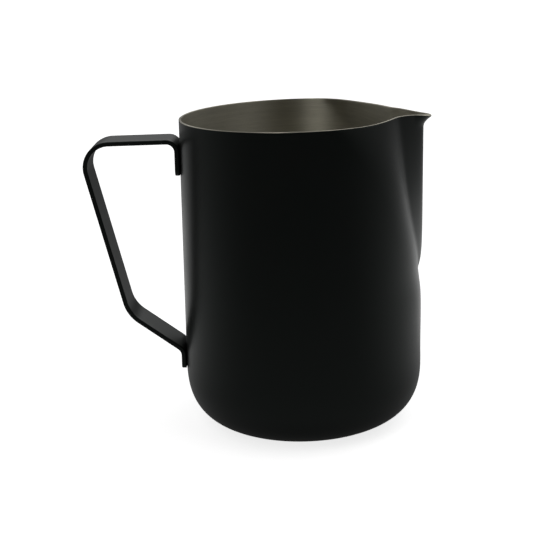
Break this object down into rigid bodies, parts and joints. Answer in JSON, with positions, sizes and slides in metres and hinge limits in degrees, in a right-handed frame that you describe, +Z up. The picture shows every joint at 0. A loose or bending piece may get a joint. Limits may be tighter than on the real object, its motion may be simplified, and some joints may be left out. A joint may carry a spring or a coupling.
{
  "type": "milk frothing pitcher",
  "caption": "Stainless milk frothing pitcher: round tapered jug with a black coat, bare rim and inside, pressed pouring spout and a welded flat-bar handle.",
  "frame": {"origin": "middle of the underside, on the plane the pitcher stands on", "axes": "+Z up, +X towards the spout, -X towards the handle; the XZ plane is the plane of symmetry"},
  "size_m": [0.1283, 0.0902, 0.117],
  "materials": {
    "bare_steel": "brushed",
    "black_coat": "satin"
  },
  "bodies": {
    "root": {"pitcher_shell": "bare_steel", "shell_coating": "black_coat", "handle_strap": "bare_steel", "handle_coating": "black_coat", "upper_weld_nuggets": "bare_steel", "lower_weld_nugget": "bare_steel"}
  },
  "joints": []
}
